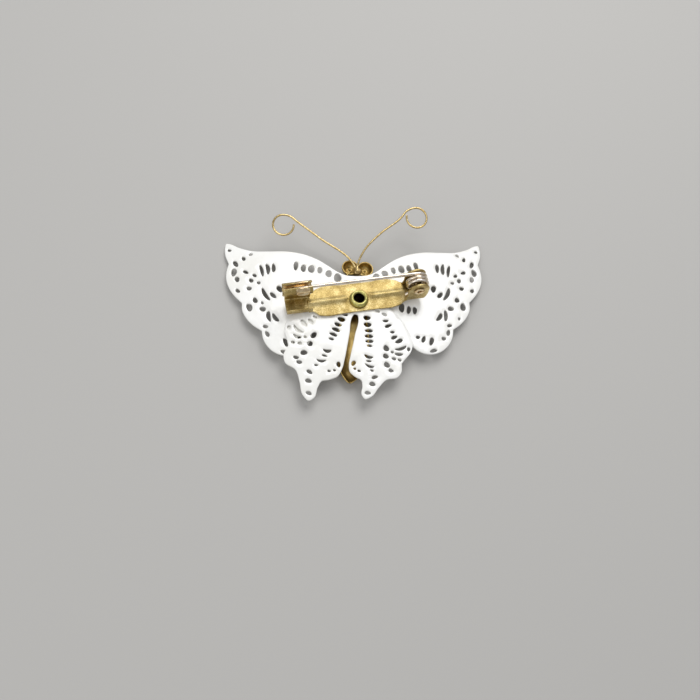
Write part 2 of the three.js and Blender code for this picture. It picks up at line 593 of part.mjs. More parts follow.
brooch.add(
  piece('forewing_plate', forewingPlate(), enamel),
  hindwing,
  body,
  piece('antenna_left', antenna(leftAntenna), gilt),
  piece('antenna_right', antenna(rightAntenna), gilt),
  piece('antenna_solder', antennaSolder(), solderGrey),
  pinBack,
  piece('tubular_rivet', tubularRivet(), rawBrass),
);

export default brooch;
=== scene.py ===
# %% [markdown]
# # A butterfly brooch, seen from its back
# This lesson dresses a mechanical frame with the surfaces and finishes of the real brooch: two pierced sheets of
# white enamelled metal, a hollow gilt body, two wires, and a bar with a hinged pin and a safety catch.
# The frame comes first. It fixes every size, so each new piece is worked out in the same millimetres.

# %% Load the frame
import bpy
import numpy as np
from mathutils import Matrix, Vector
from mathutils.geometry import delaunay_2d_cdt


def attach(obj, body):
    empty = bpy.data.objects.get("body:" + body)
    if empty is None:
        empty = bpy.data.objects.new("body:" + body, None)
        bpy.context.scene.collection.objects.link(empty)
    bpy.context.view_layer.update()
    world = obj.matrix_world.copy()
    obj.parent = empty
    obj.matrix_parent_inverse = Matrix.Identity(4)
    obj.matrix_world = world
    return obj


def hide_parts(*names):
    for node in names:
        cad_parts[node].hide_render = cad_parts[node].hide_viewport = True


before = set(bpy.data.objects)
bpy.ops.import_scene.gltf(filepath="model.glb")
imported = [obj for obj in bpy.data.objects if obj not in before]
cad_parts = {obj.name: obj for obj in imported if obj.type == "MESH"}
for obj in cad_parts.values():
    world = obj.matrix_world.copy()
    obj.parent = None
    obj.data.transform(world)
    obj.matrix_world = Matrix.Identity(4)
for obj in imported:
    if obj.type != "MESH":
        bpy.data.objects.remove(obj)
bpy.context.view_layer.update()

# %% [markdown]
# ## The sizes the pieces share
# The rivet's axis is x = y = 0, and the table is z = 0. The wings are a very shallow dome round the rivet, so
# the tips touch the table while the middle stands 3 mm above it. The bar is turned 8 degrees, and it has its own
# directions: u along it, t across it and h upwards.

# %% Shared sizes in millimetres
MM = 0.001
WING_BASE, WING_SHEET, LAYER_GAP = 2.95, 0.60, 0.05
DROOP = WING_BASE / (29.04 ** 2 + 15.6 ** 2)
HINDWING_TURN, BODY_TURN, BAR_TURN, BAR_SHIFT = -12.8, -6.7, 8.0, 0.6
PANEL_BASE = WING_BASE + 2 * (WING_SHEET + LAYER_GAP)
BAR_SHEET, RIB_HEIGHT = 0.45, 0.45
PANEL_TOP = PANEL_BASE + BAR_SHEET
RIB_TOP = PANEL_TOP + RIB_HEIGHT
HINGE_U, HINGE_Z, EAR_RADIUS = 12.3, RIB_TOP + 3.0, 2.25
BAR_START, CATCH_START, CATCH_END, CATCH_T, CATCH_Z = -15.5, -15.95, -9.85, 1.75, RIB_TOP + 3.6
RIVET_BORE, RIVET_SHANK, RIVET_RIM, RIVET_HOLE = 0.98, 1.35, 2.05, 1.42
print("panel top", round(PANEL_TOP, 3), "hinge height", round(HINGE_Z, 3))


# %% [markdown]
# ## Small tools for surfaces
# Every new piece is a surface worked out with numpy. A closed piece needs three things: points, the faces between
# them, and an end that is shut. These helpers do that for grids, for rings carried along a path, and for a shape
# turned round an axis.

# %% Faces between the points of a grid
def grid_faces(rows, columns, wrap_rows=False, wrap_columns=False):
    """Quads (r, c), (r, c+1), (r+1, c+1), (r+1, c) of a grid numbered row by row."""
    r = np.arange(rows if wrap_rows else rows - 1)[:, None]
    c = np.arange(columns if wrap_columns else columns - 1)[None, :]
    r2, c2 = (r + 1) % rows, (c + 1) % columns
    corners = [r * columns + c, r * columns + c2, r2 * columns + c2, r2 * columns + c]
    return np.stack(np.broadcast_arrays(*corners), axis=-1).reshape(-1, 4).tolist()


def turn_flat(points, degrees, shift=(0.0, 0.0)):
    """Points turned round Z by an angle, then moved: (x cos a - y sin a, x sin a + y cos a)."""
    a = np.radians(degrees)
    out = np.array(points, dtype=float)
    x, y = out[..., 0].copy(), out[..., 1].copy()
    out[..., 0] = x * np.cos(a) - y * np.sin(a) + shift[0]
    out[..., 1] = x * np.sin(a) + y * np.cos(a) + shift[1]
    return out


def bar_place(points):
    """(u, t, h) of the bar to (x, y, z): turned by the bar's angle, with the rivet to one side of its rib."""
    a = np.radians(BAR_TURN)
    return turn_flat(points, BAR_TURN, (-BAR_SHIFT * np.sin(a), BAR_SHIFT * np.cos(a)))


class Shell:
    """Points and faces of a piece, collected part by part in millimetres."""

    def __init__(self):
        self.points, self.faces, self.count = [], [], 0

    def add(self, points, faces):
        """Appends a part whose faces count from zero."""
        points = np.asarray(points, dtype=float).reshape(-1, 3)
        self.points.append(points)
        self.faces += [[i + self.count for i in face] for face in faces]
        self.count += len(points)
        return self

    def make(self, name, place=None):
        """Puts the parts in one smooth mesh, in metres, through an optional placing function."""
        points = np.concatenate(self.points)
        points = (place(points) if place else points) * MM
        mesh = bpy.data.meshes.new(name)
        mesh.from_pydata(points.tolist(), [], self.faces)
        mesh.validate()
        mesh.polygons.foreach_set("use_smooth", [True] * len(mesh.polygons))
        piece = bpy.data.objects.new(name, mesh)
        bpy.context.scene.collection.objects.link(piece)
        print(f"{name}: {len(mesh.vertices)} points, {len(mesh.polygons)} faces")
        return piece


# %% A smooth line through a few points
def smooth_line(points, step):
    """Cubic pieces through the points. The slope at each is the blend of its two chords, weighted by the other
    chord's length; each piece is a Hermite curve, sampled about every step."""
    p = np.asarray(points, dtype=float)
    chord = np.linalg.norm(np.diff(p, axis=0), axis=1)
    slope = np.diff(p, axis=0) / chord[:, None]
    tangent = np.empty_like(p)
    tangent[0], tangent[-1] = slope[0], slope[-1]
    before, after = chord[:-1, None], chord[1:, None]
    tangent[1:-1] = (slope[:-1] * after + slope[1:] * before) / (before + after)
    parts = []
    for i, length in enumerate(chord):
        s = np.linspace(0, 1, max(2, int(np.ceil(length / step))) + 1)[:-1, None]
        parts.append((2 * s**3 - 3 * s**2 + 1) * p[i] + (s**3 - 2 * s**2 + s) * length * tangent[i]
                     + (3 * s**2 - 2 * s**3) * p[i + 1] + (s**3 - s**2) * length * tangent[i + 1])
    return np.concatenate(parts + [p[-1:]])


# %% A round wire along a path
def wire_shell(path, radius, reference, sides=16):
    """A circle carried along the path: centre + r (cos a N + sin a B), where B is the path's direction crossed
    with a fixed reference, and N completes the frame. Both ends close over a quarter circle."""
    path = np.asarray(path, dtype=float)
    radius = np.broadcast_to(np.asarray(radius, dtype=float), len(path)).copy()
    way = np.gradient(path, axis=0)
    way /= np.linalg.norm(way, axis=1)[:, None]
    lean = np.radians([8, 30, 55, 75])
    reach, shrink = np.sin(lean)[:, None], np.cos(lean)
    first = path[0] - way[0] * radius[0] * reach[::-1]
    last = path[-1] + way[-1] * radius[-1] * reach
    path = np.concatenate([first, path, last])
    way = np.concatenate([np.repeat(way[:1], len(lean), 0), way, np.repeat(way[-1:], len(lean), 0)])
    radius = np.concatenate([radius[0] * shrink[::-1], radius, radius[-1] * shrink])
    side = np.cross(way, np.asarray(reference, dtype=float))
    side /= np.linalg.norm(side, axis=1)[:, None]
    up = np.cross(side, way)
    a = np.linspace(0, 2 * np.pi, sides, endpoint=False)
    ring = np.cos(a)[None, :, None] * up[:, None] + np.sin(a)[None, :, None] * side[:, None]
    points = path[:, None] + radius[:, None, None] * ring
    faces = grid_faces(len(path), sides, wrap_columns=True)
    faces += [list(range(sides))[::-1], [(len(path) - 1) * sides + i for i in range(sides)]]
    return points, faces


# %% A profile turned round an upright axis
def turned_shell(profile, sides=64, wobble=None):
    """Each (r, z) of a closed profile becomes a circle (r cos a, r sin a, z). The profile runs clockwise seen
    with r to the right and z up, so that faces point outwards. Wobble(r, z, a) may add a little to r and z."""
    profile = np.asarray(profile, dtype=float)
    a = np.linspace(0, 2 * np.pi, sides, endpoint=False)
    r, z = np.broadcast_arrays(profile[:, :1], profile[:, 1:2])
    r, z = np.repeat(r, sides, 1), np.repeat(z, sides, 1)
    if wobble:
        dr, dz = wobble(r, z, a[None, :])
        r, z = r + dr, z + dz
    points = np.stack([r * np.cos(a), r * np.sin(a), z], axis=-1)
    return points, grid_faces(len(profile), sides, wrap_rows=True, wrap_columns=True)


# %% A bent strip of sheet carried along the bar
def strip_section(line, thickness, trim=0.0):
    """A strip of sheet seen end on. Each point of its middle line carries a half thickness, which closes like a
    half circle at the two ends. Returns the left side out and the right side back as one ring."""
    line = np.asarray(line, dtype=float)
    length = np.concatenate([[0], np.cumsum(np.linalg.norm(np.diff(line, axis=0), axis=1))])
    half = thickness / 2 - trim
    ends = half * (1 - np.cos(np.radians([0, 25, 45, 65, 90])))
    inner = length[(length > trim + half * 1.05) & (length < length[-1] - trim - half * 1.05)]
    s = np.concatenate([trim + ends, inner, length[-1] - trim - ends[::-1]])
    middle = np.stack([np.interp(s, length, line[:, k]) for k in range(2)], axis=1)
    to_end = np.minimum(s - s[0], s[-1] - s)
    depth = np.sqrt(np.clip(half**2 - np.clip(half - to_end, 0, half)**2, 0, None))
    way = np.gradient(middle, axis=0)
    way /= np.linalg.norm(way, axis=1)[:, None]
    normal = np.stack([-way[:, 1], way[:, 0]], axis=1)
    left, right = middle + normal * depth[:, None], middle - normal * depth[:, None]
    return np.concatenate([left, right[-2:0:-1]]), len(s)


def carried_strip(line, thickness, u0, u1, edge=0.06):
    """The strip's section carried from u0 to u1. It shrinks a little at both ends, as a tumbled edge does."""
    stops = [(u0, edge), (u0 + edge * 0.3, edge * 0.3), (u0 + edge, 0), ((u0 + u1) / 2, 0), (u1 - edge, 0),
             (u1 - edge * 0.3, edge * 0.3), (u1, edge)]
    rows = [strip_section(line, thickness, trim) for _, trim in stops]
    count, n = len(rows[2][0]), rows[2][1]
    rings = np.stack([ring for ring, _ in rows])
    u = np.repeat(np.array([stop for stop, _ in stops])[:, None], count, 1)
    points = np.concatenate([u[..., None], rings], axis=-1)
    faces = grid_faces(len(stops), count, wrap_columns=True)
    cap = [[0, 1, count - 1]] + [[i, i + 1, count - i - 1, count - i] for i in range(1, n - 2)]
    cap += [[n - 2, n - 1, n]]
    last = (len(stops) - 1) * count
    faces += [face[::-1] for face in cap] + [[i + last for i in face] for face in cap]
    return points, [face[::-1] for face in faces]


# %% [markdown]
# ## Pierced plates
# A wing is a sheet with an outline, dozens of small holes and an edge rounded by enamel. A boolean cut leaves sharp,
# ragged edges, so the plate is built the other way round: each boundary line is carried over the edge on a half
# round profile, and the flat faces are filled between those lines by triangles. The dome is added last, as a
# height for every point.

# %% Fill between boundary lines and round the edges
def signed_area(loop):
    """Half the sum of cross products of neighbouring points: positive when the loop runs anticlockwise."""
    following = np.roll(loop, -1, axis=0)
    return 0.5 * np.sum(loop[:, 0] * following[:, 1] - loop[:, 1] * following[:, 0])


def inward(loop):
    """The direction into the sheet at each point: the mean of its two edges' left normals, lengthened so that
    both edges move by the same amount."""
    edge = np.roll(loop, -1, axis=0) - loop
    edge /= np.linalg.norm(edge, axis=1)[:, None]
    left = np.stack([-edge[:, 1], edge[:, 0]], axis=1)
    mean = left + np.roll(left, 1, axis=0)
    mean /= np.linalg.norm(mean, axis=1)[:, None]
    return mean / np.clip(np.sum(mean * left, axis=1), 0.6, 1)[:, None]


def inside(points, loops):
    """Even-odd rule: a point is in the sheet when a ray to the right crosses the boundary an odd number of
    times. All edges are tested at once, a few thousand points at a time."""
    start = np.concatenate(loops)
    end = np.concatenate([np.roll(loop, -1, axis=0) for loop in loops])
    crossings = []
    for part in np.array_split(points, max(1, len(points) // 2000)):
        x, y = part[:, :1], part[:, 1:]
        spans = (start[:, 1] > y) != (end[:, 1] > y)
        with np.errstate(divide="ignore", invalid="ignore"):
            at = start[:, 0] + (y - start[:, 1]) * (end[:, 0] - start[:, 0]) / (end[:, 1] - start[:, 1])
        crossings.append(np.sum(spans & (x < at), axis=1))
    return np.concatenate(crossings) % 2 == 1


def plate_shell(loops, thickness, middle_height, edge, spacing):
    """A pierced sheet. The first loop is the outline. Over each edge, the inset is edge (1 - cos a) and the height
    is half the thickness times sin a, for a from 90 to -90 degrees. Middle_height(x, y) is the sheet's dome."""
    loops = [loop if (signed_area(loop) > 0) == (i == 0) else loop[::-1] for i, loop in enumerate(loops)]
    normals = [inward(loop) for loop in loops]
    inset = [loop + normal * edge for loop, normal in zip(loops, normals)]
    low, high = loops[0].min(0), loops[0].max(0)
    columns, rows = np.ceil((high - low) / [spacing, spacing * 0.866]).astype(int) + 1
    lattice = np.stack(np.meshgrid(np.arange(columns), np.arange(rows)), -1).reshape(-1, 2).astype(float)
    lattice = low + (lattice + np.stack([0.5 * (lattice[:, 1] % 2), 0 * lattice[:, 1]], 1)) * [spacing,
                                                                                             spacing * 0.866]
    lattice = lattice[inside(lattice, inset)]
    border = np.concatenate(inset)
    near = np.concatenate([np.min(np.linalg.norm(part[:, None] - border[None], axis=2), axis=1)
                           for part in np.array_split(lattice, max(1, len(lattice) // 400))])
    lattice = lattice[near > spacing * 0.45]
    flat = np.concatenate([border, lattice])
    starts = np.cumsum([0] + [len(loop) for loop in inset])
    edges = [[a + i, a + (i + 1) % (b - a)] for a, b in zip(starts[:-1], starts[1:]) for i in range(b - a)]
    found = delaunay_2d_cdt([Vector(point) for point in flat], edges, [], 0, 1e-6)
    origin = [sources[0] if sources else -1 for sources in found[3]]
    if len(found[0]) != len(flat) or min(origin) < 0:
        print("boundary lines cross or touch:", len(found[0]) - len(flat))
    triangles = np.array([[origin[i] for i in face] for face in found[2]])
    triangles = triangles[(triangles >= 0).all(1)]
    triangles = triangles[inside(flat[triangles].mean(1), inset)]
    total = len(flat)
    angle = np.radians(np.linspace(90, -90, 9))
    shell = Shell()
    half = thickness / 2
    mid = middle_height(flat[:, 0], flat[:, 1])
    top = np.column_stack([flat, mid + half])
    bottom = np.column_stack([flat, mid - half])
    shell.add(np.concatenate([top, bottom]), triangles.tolist() + (triangles[:, ::-1] + total).tolist())
    for loop, normal, a, b in zip(loops, normals, starts[:-1], starts[1:]):
        n = b - a
        rim = loop[None] + normal[None] * (edge * (1 - np.cos(angle[1:-1])))[:, None, None]
        height = middle_height(rim[..., 0], rim[..., 1]) + half * np.sin(angle[1:-1])[:, None]
        band = np.concatenate([rim, height[..., None]], axis=-1)
        shell.add(band, [])
        first = shell.count - band.shape[0] * n
        rings = [np.arange(a, b)] + [first + k * n + np.arange(n) for k in range(band.shape[0])]
        rings += [np.arange(a, b) + total]
        for upper, lower in zip(rings[:-1], rings[1:]):
            quads = np.stack([upper, lower, np.roll(lower, -1), np.roll(upper, -1)], axis=1)
            shell.faces += quads.tolist()
    return shell


# %% [markdown]
# ## The wings
# Each wing sheet was stamped, pierced by hand-cut punches and dipped in white stove enamel, which rounds the edges
# and makes every hole a little different. The outline is drawn for one half, as smooth runs that meet in sharp
# notches, and mirrored. Each hole is an oval of a given length and width, some bent into crescents.

# %% Half outlines and piercings of the forewing
forewing_runs = [
    [(0, 6.3), (2.2, 6.5), (4, 7.3), (6, 8.8), (8.5, 10.6), (11.5, 12), (15, 12.8), (19, 13), (22.5, 13.3),
     (25.3, 14.3), (27.5, 15.5), (28.1, 15.6), (28.4, 14.5), (28.3, 12.7), (27.5, 10.35)],
    [(27.5, 10.35), (27.9, 8.55), (27.9, 6.4), (27.3, 4.45), (26.2, 2.6), (24.5, 0.65)],
    [(24.5, 0.65), (24.4, -1.05), (23.6, -2.8), (22.2, -4.5), (20.3, -5.95)],
    [(20.3, -5.95), (20, -7.65), (19, -9.55), (17.3, -11.05), (15.3, -11.7), (13.4, -11.5), (11.8, -10.65),
     (10.6, -9.35), (9.9, -7.25), (8.9, -5), (6.8, -3.6), (3.5, -2.9), (0, -2.7)],
]
# x, y, length, width, turn in degrees, bend
forewing_piercings = [
    (4.2, 5.9, 1.9, 1.6, 100), (6.1, 6.9, 1.6, 1.3, 110), (8, 7.8, 1.5, 1, 100), (9.8, 8.15, 1.9, 1.3, 100),
    (11.5, 8.4, 1.7, 1.1, 95), (13.1, 9.05, 2.1, 0.95, 100),
    (17.9, 8.75, 2.2, 0.8, 88, 0.05), (19.2, 8.55, 2.7, 0.85, 82, 0.15), (20.5, 8.2, 3, 0.7, 78, 0.15),
    (27.4, 13.8, 0.8, 0.7), (24.3, 11.45, 1.1, 0.75, 70), (22.8, 12.4, 0.9, 0.6, -20),
    (26, 10.25, 1.7, 0.9, 65), (26.3, 8.15, 1.9, 1.15, 95),
    (25.6, 6.4, 1.3, 1, 80), (25.4, 3.6, 1.1, 0.8, 60), (22.9, -0.5, 1.9, 1.2, 80),
    (23.8, 8.05, 1.2, 0.8, 30), (21.9, 7.1, 1, 0.7, 50), (22.6, 5.9, 1.1, 0.85, 60), (21, 5.25, 0.8, 0.7),
    (23, 4, 1.1, 0.9), (21.7, 1.1, 1.3, 1, 70), (20.1, -1.05, 1.3, 1.1),
    (19.4, 2.5, 3.3, 0.85, 62, -0.3), (17.9, 2.15, 1.8, 0.85, 50, -0.1), (16.6, 3.55, 1.7, 1.1, 70),
    (18.7, -2.75, 2.5, 0.85, 85, -0.2), (17.3, -3.05, 2.3, 0.85, 55, -0.25),
    (9.3, -1.2, 2.3, 1.15, 80), (10.8, -1.65, 1.9, 0.9, 80), (12.1, -1.75, 1.8, 0.95, 80),
    (19.5, -5.05, 1.1, 0.8, 20), (19.1, -6.75, 1.4, 0.8, 70),
    (15.3, -8.8, 1.9, 0.95, 70), (13.6, -8.4, 1.7, 0.75, 65), (12.4, -7.95, 0.9, 0.8), (15.6, -10.9, 1.6, 0.85, 20),
]
# side (1 right, -1 left) and the piercing that only that side has
forewing_extras = [(1, (21.8, -3.35, 0.75, 0.6, 80)), (1, (18, -8.1, 1, 0.85)), (-1, (20.2, 0.4, 0.7, 0.55, 80))]

# %% Half outline and piercings of the hindwing
hindwing_runs = [
    [(0, 2.3), (3.2, 1.6), (6.1, 0.1), (9, -1.8), (11.8, -4.9), (13.3, -7.5), (13.2, -9.1), (12.3, -11),
     (11.8, -12.1)],
    [(11.8, -12.1), (12.15, -14.1), (11.6, -15.3), (9.3, -16.5), (8, -18.6), (6.9, -20.8), (5.6, -21.6),
     (4.7, -20.8), (4.5, -19), (4.1, -17.9), (2.6, -17.3), (1.2, -16.4), (0.65, -14.8), (0.55, -13),
     (0.55, -8), (0.55, -3.7), (0.39, -3.31), (0, -3.15)],
]
hindwing_piercings = [
    (2.4, -3.5, 1.5, 1.1, 20), (2.8, -5, 1.6, 1.1, 15), (3.3, -6.3, 1.6, 0.85, 10), (3.5, -7.5, 1.8, 0.85, 12),
    (3.8, -8.6, 1.6, 0.8, 15), (4, -9.6, 1.1, 0.6, 10),
    (4.3, -11.9, 1.8, 0.75, -5, -0.3), (4.6, -13.1, 1.1, 0.5, 5), (5, -14, 2, 0.6, -5, -0.25),
    (5.75, -15.1, 0.75, 0.5, -15), (6.7, -16.5, 1.3, 0.8, 30), (6.5, -18.1, 1.3, 0.95, 10), (5.9, -20.2, 1.2, 0.85, 10),
    (1.55, -14.3, 1.3, 0.8, 75), (2.1, -15.5, 0.55, 0.5), (3.1, -15.8, 0.7, 0.5),
    (4.4, -1.4, 0.9, 0.75), (5.9, -1.9, 1.1, 0.7, -10), (6.4, -3.3, 1.3, 0.6, 20), (7.1, -4.3, 1.5, 0.75, 35),
    (8.2, -5.5, 0.9, 0.65, 20), (8.8, -6.6, 1.4, 0.8, 40), (10, -7.1, 1.8, 0.85, 45, -0.1),
    (10.7, -8.5, 2.6, 0.7, 30, -0.35), (10.6, -10, 1.8, 0.7, 10, -0.2), (12.55, -8.5, 1.0, 0.65, 90),
    (9.1, -10, 0.65, 0.6), (11.1, -11.4, 0.8, 0.65), (9.8, -11.4, 0.9, 0.7),
    (7.6, -9.4, 1.5, 1.1, 120), (7.9, -11.2, 1.2, 1.1), (8.6, -13.1, 1.4, 1.1, 150), (9.8, -14.2, 1.1, 0.8),
]
hindwing_extras = [(-1, (9, -15, 1.2, 0.8))]


# %% How the two halves differ
def share(distance, start, run):
    """How much of a change has come in: 0 up to the start, then straight up to 1 over the run."""
    return np.clip((distance - start) / run, 0, 1)


def forewing_settled(points):
    """The plate leans 0.0225 mm sideways per mm upwards, and its right half is 1% wider."""
    x, y = points[..., 0], points[..., 1]
    return np.stack([x + 0.0225 * y + 0.01 * np.clip(x, 0, None), y], axis=-1)


def hindwing_settled(points):
    """Outwards from the rivet the left tail grows to 9% longer. The right one shrinks by 3.5% and turns in by
    1.2 degrees."""
    x, y = points[..., 0], points[..., 1]
    far = np.hypot(x, y)
    left, right = share(far, 8, 13) * (x < 0), share(far, 10, 8) * (x >= 0)
    grow = 1 + 0.09 * left - 0.035 * right
    a = np.radians(-1.2) * right
    return np.stack([grow * (x * np.cos(a) - y * np.sin(a)), grow * (x * np.sin(a) + y * np.cos(a))], axis=-1)


# %% Draw the loops
def mirrored_loop(runs, settled, step=0.16):
    """The right half's smooth runs from top to bottom, then the same points mirrored on the way back."""
    parts = [smooth_line(run, step) for run in runs]
    half = np.concatenate([part[:-1] for part in parts[:-1]] + [parts[-1]])
    return settled(np.concatenate([half, (half * [-1, 1])[-2:0:-1]]))


def piercing_loop(row, side, settled, random, points=26):
    """(L/2 cos a, W/2 sin a + bend sin^2 a), turned, with two slow ripples of random phase in its radius."""
    x, y, length, width, turn, bend = (tuple(row) + (0, 0))[:6]
    a = np.linspace(0, 2 * np.pi, points, endpoint=False)
    phase = random.uniform(0, 2 * np.pi, 2)
    ripple = 1 + 0.045 * np.cos(2 * a + phase[0]) + 0.05 * np.cos(3 * a + phase[1])
    oval = np.stack([length / 2 * np.cos(a) * ripple, width / 2 * np.sin(a) * ripple + bend * np.sin(a)**2], 1)
    return turn_flat(oval, turn) * [side, 1] + settled(np.array([side * x, y], dtype=float))


def round_loop(radius, centre=(0.0, 0.0), points=48):
    """A circle as a loop of points."""
    a = np.linspace(0, 2 * np.pi, points, endpoint=False)
    return np.stack([centre[0] + radius * np.cos(a), centre[1] + radius * np.sin(a)], axis=1)


def wing_loops(runs, shared, extras, settled, seed):
    """The outline, the rivet's hole, and both sides' piercings."""
    random = np.random.default_rng(seed)
    rows = [(side, row) for side in (1, -1) for row in shared] + extras
    holes = [piercing_loop(row, side, settled, random) for side, row in rows]
    return [mirrored_loop(runs, settled), round_loop(RIVET_HOLE)] + holes


def dome(base, part):
    """The height of a sheet's middle: base less a part of the droop times the squared distance."""
    return lambda x, y: base + WING_SHEET / 2 - part * DROOP * (x**2 + y**2)


# %% Make both wings
forewing_lines = wing_loops(forewing_runs, forewing_piercings, forewing_extras, forewing_settled, 3)
hindwing_lines = wing_loops(hindwing_runs, hindwing_piercings, hindwing_extras, hindwing_settled, 8)
plate_sheet, rounding, spacing = WING_SHEET - 0.03, 0.11, 0.8
forewing = plate_shell(forewing_lines, plate_sheet, dome(WING_BASE, 1), rounding, spacing)
forewing = forewing.make("forewing_enamelled")
hindwing_dome = dome(WING_BASE + WING_SHEET + LAYER_GAP, 0.95)
hindwing = plate_shell(hindwing_lines, plate_sheet, hindwing_dome, rounding, spacing)
hindwing = hindwing.make("hindwing_enamelled", lambda points: turn_flat(points, HINDWING_TURN))

# %% [markdown]
# ## The body
# The body is one thin stamping, hollow towards the back: a long trough for thorax and abdomen, and two bowls for the
# eyes, each with a raised ring in its floor. The trough is a ring-shaped section (outer arc, rolled rim, inner arc)
# whose width and depth change along the body. The bowls are turned.

# %% Heights under the wing
NECK_Y, BODY_LENGTH, BODY_HALF, BODY_DEPTH, BODY_SHEET = 7.6, 25.9, 3.4, 2.65, 0.35
EYE_RADIUS, EYE_Y, EYE_X = 1.8, 8.6, 1.65


def rim_height(x, y):
    """Just under the forewing: its underside less the gap."""
    return WING_BASE - LAYER_GAP - DROOP * (x**2 + y**2)


# %% The trough of thorax and abdomen
def trough_shell():
    """Ring of a section: outer (w cos a, -d sin a) for a from 0 to 180 degrees, then the inner arc back, w and d
    less the sheet. Both shrink to nothing at the neck and at the pointed tail."""
    along = smooth_line([(0.0, 0.5), (0.03, 0.66), (0.1, 0.86), (0.22, 0.97), (0.34, 0.85), (0.42, 0.8), (0.54, 0.95),
                         (0.63, 1), (0.75, 0.93), (0.88, 0.71), (0.95, 0.4), (0.985, 0.13)], 0.012)
    y = NECK_Y - along[:, 0] * BODY_LENGTH
    width = along[:, 1] * BODY_HALF
    depth = BODY_DEPTH * along[:, 1] * np.clip(along[:, 0] / 0.04, 0.5, 1)
    a = np.radians(np.linspace(0, 180, 37))
    x_out, z_out = width[:, None] * np.cos(a), -depth[:, None] * np.sin(a)
    inner_width = np.clip(width - BODY_SHEET, 0.05, None)
    inner_depth = np.clip(depth - BODY_SHEET, 0.05, None)
    x_in, z_in = inner_width[:, None] * np.cos(a[::-1]), -inner_depth[:, None] * np.sin(a[::-1])
    rim_lift = 0.04
    rim = np.stack([(width + inner_width) / 2, np.full(len(y), rim_lift)], axis=1)
    x = np.concatenate([x_out, -rim[:, :1], x_in, rim[:, :1]], axis=1)
    z = np.concatenate([z_out, rim[:, 1:], z_in, rim[:, 1:]], axis=1)
    base = rim_height(0, y)[:, None] - rim_lift
    points = np.stack([x, np.repeat(y[:, None], x.shape[1], 1), z + base], axis=-1)
    count, n = x.shape[1], len(a)
    faces = [face[::-1] for face in grid_faces(len(y), count, wrap_columns=True)]
    ends = []
    for row, flip in ((0, False), (len(y) - 1, True)):
        ring = row * count
        cap = [[ring + i, ring + i + 1, ring + 2 * n - i - 1, ring + 2 * n - i] for i in range(n - 1)]
        cap += [[ring + n - 1, ring + n, ring + n + 1], [ring + 2 * n, ring + 2 * n + 1, ring]]
        ends += [face[::-1] for face in cap] if flip else cap
    return points, faces + ends


def eye_profile():
    """From the middle of the bowl's floor, over its ring-shaped pip, up the inside, over the rolled rim and down
    the outside, back to the axis. The first and last points lie almost on the axis."""
    deep = EYE_RADIUS * 0.95
    floor = [(0.01, -deep + 0.42), (0.16, -deep + 0.44), (0.3, -deep + 0.62), (0.45, -deep + 0.66),
             (0.6, -deep + 0.55), (0.72, -deep + 0.43)]
    a = np.radians(np.linspace(28, 86, 12))
    r, d = EYE_RADIUS - BODY_SHEET, deep - BODY_SHEET
    wall_in = np.stack([r * np.sin(a), -d * np.cos(a)], axis=1)
    rim = [(EYE_RADIUS - 0.34, 0.0), (EYE_RADIUS - 0.28, 0.1), (EYE_RADIUS - 0.16, 0.15), (EYE_RADIUS - 0.04, 0.1),
           (EYE_RADIUS, 0.0)]
    b = np.radians(np.linspace(88, 2, 16))
    wall_out = np.stack([EYE_RADIUS * np.sin(b), -deep * np.cos(b)], axis=1)
    return np.concatenate([floor, wall_in, rim, wall_out, [(0.01, -deep)]])


body = Shell()
points, faces = trough_shell()
body.add(points, faces)
for side in (-1, 1):
    points, faces = turned_shell(eye_profile(), 56)
    shift = np.array([side * EYE_X, EYE_Y, rim_height(0, EYE_Y) - 0.12])
    body.add(points + shift, [face[::-1] for face in faces])
body = body.make("body_stamping", lambda points: turn_flat(points + [-0.5, 0, 0], BODY_TURN))


# %% [markdown]
# ## The antennae
# Two pieces of drawn brass wire, 0.45 mm thick, cross behind the head in a lump of solder and end in a curl. The path
# is a smooth line from the head to the curl, then most of a turn of a circle. It climbs steadily from the head.

# %% Wires and solder
WIRE, CLIMB = 0.45, 0.21
WIRE_REST = float(rim_height(0, EYE_Y)) + WIRE / 2 + LAYER_GAP


def antenna_path(shaft, centre, radius, start, sweep, lift):
    """The shaft's points, then (cx + r cos a, cy + r sin a). Height = rest + lift + climb (y - eye y)."""
    a = np.radians(start + sweep * np.linspace(0, 1, 25))
    curl = np.stack([centre[0] + radius * np.cos(a), centre[1] + radius * np.sin(a)], axis=1)
    flat = smooth_line(np.concatenate([shaft, curl]), 0.2)
    return np.column_stack([flat, WIRE_REST + lift + CLIMB * np.clip(flat[:, 1] - EYE_Y, 0, None)])


left_shaft = [(0.55, 7.5), (-0.7, 9.8), (-7.5, 15), (-12.55, 18.8), (-13.95, 19.88)]
right_shaft = [(0.2, 7.5), (0.42, 8.9), (1.91, 12.02), (5.59, 15.86), (10.43, 19.54), (11.86, 21.15)]
left_path = antenna_path(left_shaft, (-15.45, 17.95), 2.25, 85, 274, 0)
right_path = antenna_path(right_shaft, (13.95, 19.6), 2.25, 88, -278, WIRE + LAYER_GAP)
antennae = [Shell().add(*wire_shell(path, WIRE / 2, (0, 0, 1))).make(name)
            for name, path in (("antenna_wire_left", left_path), ("antenna_wire_right", right_path))]


def solder_shell():
    """A flattened ball whose radius ripples with both angles, as molten solder sets."""
    rows, columns = 25, 40
    v, h = np.meshgrid(np.linspace(0.02, np.pi - 0.02, rows),
                       np.linspace(0, 2 * np.pi, columns, endpoint=False), indexing="ij")
    r = 1 + 0.09 * np.cos(3 * h + 1) * np.sin(v)**2 + 0.06 * np.cos(5 * h) * np.sin(2 * v)
    points = np.stack([0.82 * r * np.sin(v) * np.cos(h) + 0.4, 0.95 * r * np.sin(v) * np.sin(h) + 7.8,
                       0.5 * r * np.cos(v) + WIRE_REST + 0.05], axis=-1)
    faces = grid_faces(rows, columns, wrap_columns=True)
    faces += [list(range(columns))[::-1], [(rows - 1) * columns + i for i in range(columns)]]
    return points, [face[::-1] for face in faces]


